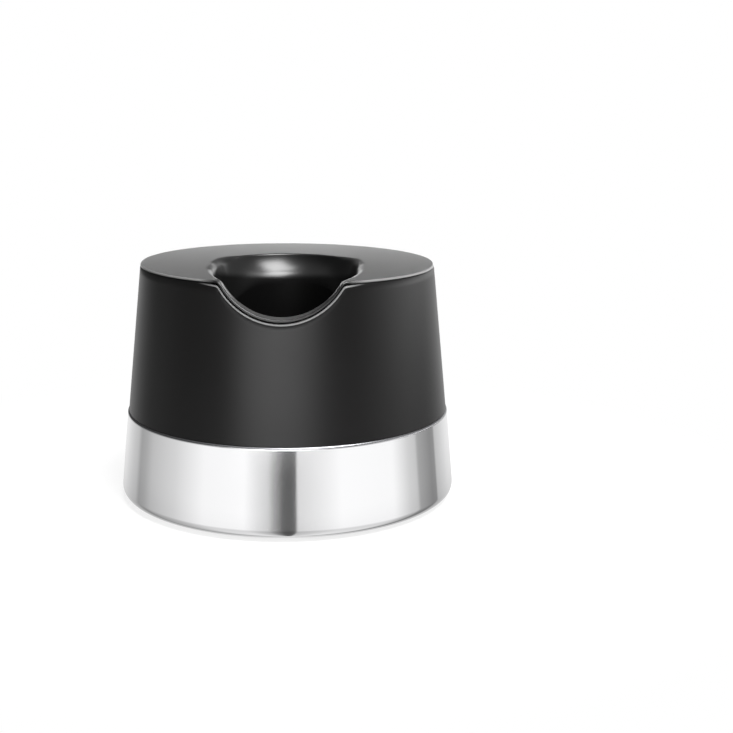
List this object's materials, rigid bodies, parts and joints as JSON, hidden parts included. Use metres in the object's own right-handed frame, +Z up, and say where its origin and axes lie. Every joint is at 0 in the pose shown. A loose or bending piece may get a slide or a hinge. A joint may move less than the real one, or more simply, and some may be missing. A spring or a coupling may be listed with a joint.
{
  "type": "razor stand",
  "caption": "Round weighted razor stand: black tapered sleeve with a front notch and bowl-shaped cup on a polished steel band, with a rubber pad underneath.",
  "frame": {"origin": "on the table, under the middle of the stand", "axes": "+Z up along the axis of the round body, the notch faces -Y, +X to the right seen from the notch"},
  "size_m": [0.048, 0.048, 0.0334],
  "materials": {
    "cup_plastic": "satin gloss moulded black",
    "sleeve_plastic": "satin moulded black",
    "polished_steel": "mirror polished",
    "tray_plastic": "matt moulded black",
    "cast_weight": "as cast",
    "screw_steel": "zinc plated",
    "pad_rubber": "matt"
  },
  "bodies": {
    "root": {"razor_cup": "cup_plastic", "outer_sleeve": "sleeve_plastic", "steel_band": "polished_steel", "base_tray": "tray_plastic", "ballast_weight": "cast_weight", "base_screw_1": "screw_steel", "base_screw_2": "screw_steel", "base_screw_3": "screw_steel", "non_slip_pad": "pad_rubber"}
  },
  "joints": []
}
